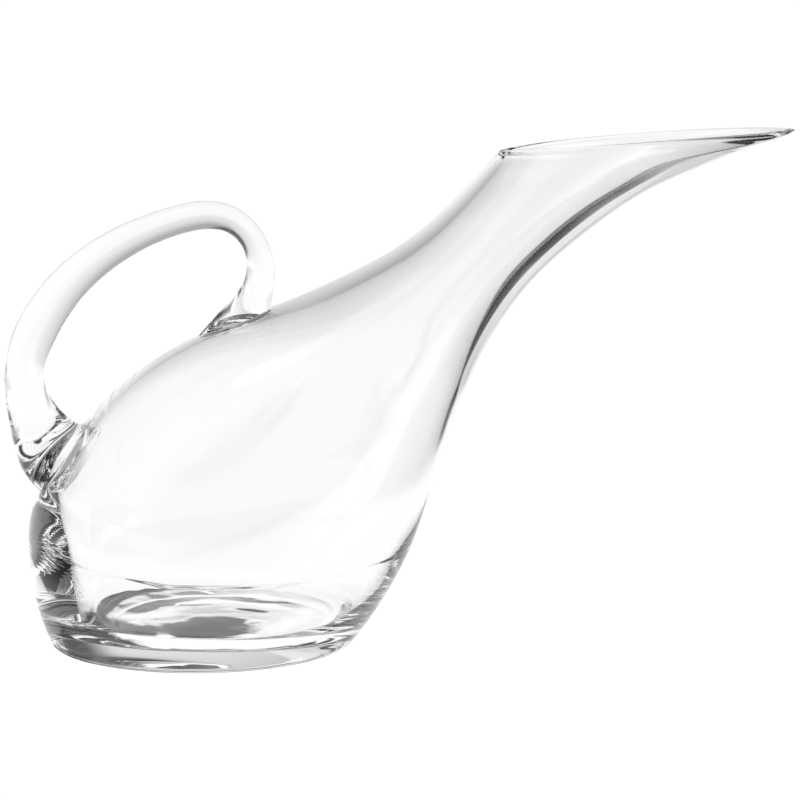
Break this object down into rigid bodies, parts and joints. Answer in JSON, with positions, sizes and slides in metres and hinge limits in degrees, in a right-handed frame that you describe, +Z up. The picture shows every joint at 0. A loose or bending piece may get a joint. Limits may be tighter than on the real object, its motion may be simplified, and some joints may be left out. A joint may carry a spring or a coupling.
{
  "type": "wine decanter",
  "caption": "Blown clear-glass wine decanter: leaning egg-shaped body, slanted neck, long beak-shaped pouring mouth, applied loop handle.",
  "frame": {"origin": "centre of the resting face: the middle of the flat ring that the decanter stands on", "axes": "+Z up, +X towards the tip of the pouring mouth, +Y across, with the handle on the -X side in the XZ plane"},
  "size_m": [0.3275, 0.1362, 0.2168],
  "materials": {
    "vessel_glass": "clear, colourless, fire-polished blown glass with faint waviness and a few seed bubbles",
    "handle_glass": "clear, colourless, solid pulled glass, fire-polished"
  },
  "bodies": {
    "root": {"vessel": "vessel_glass", "handle": "handle_glass"}
  },
  "joints": []
}
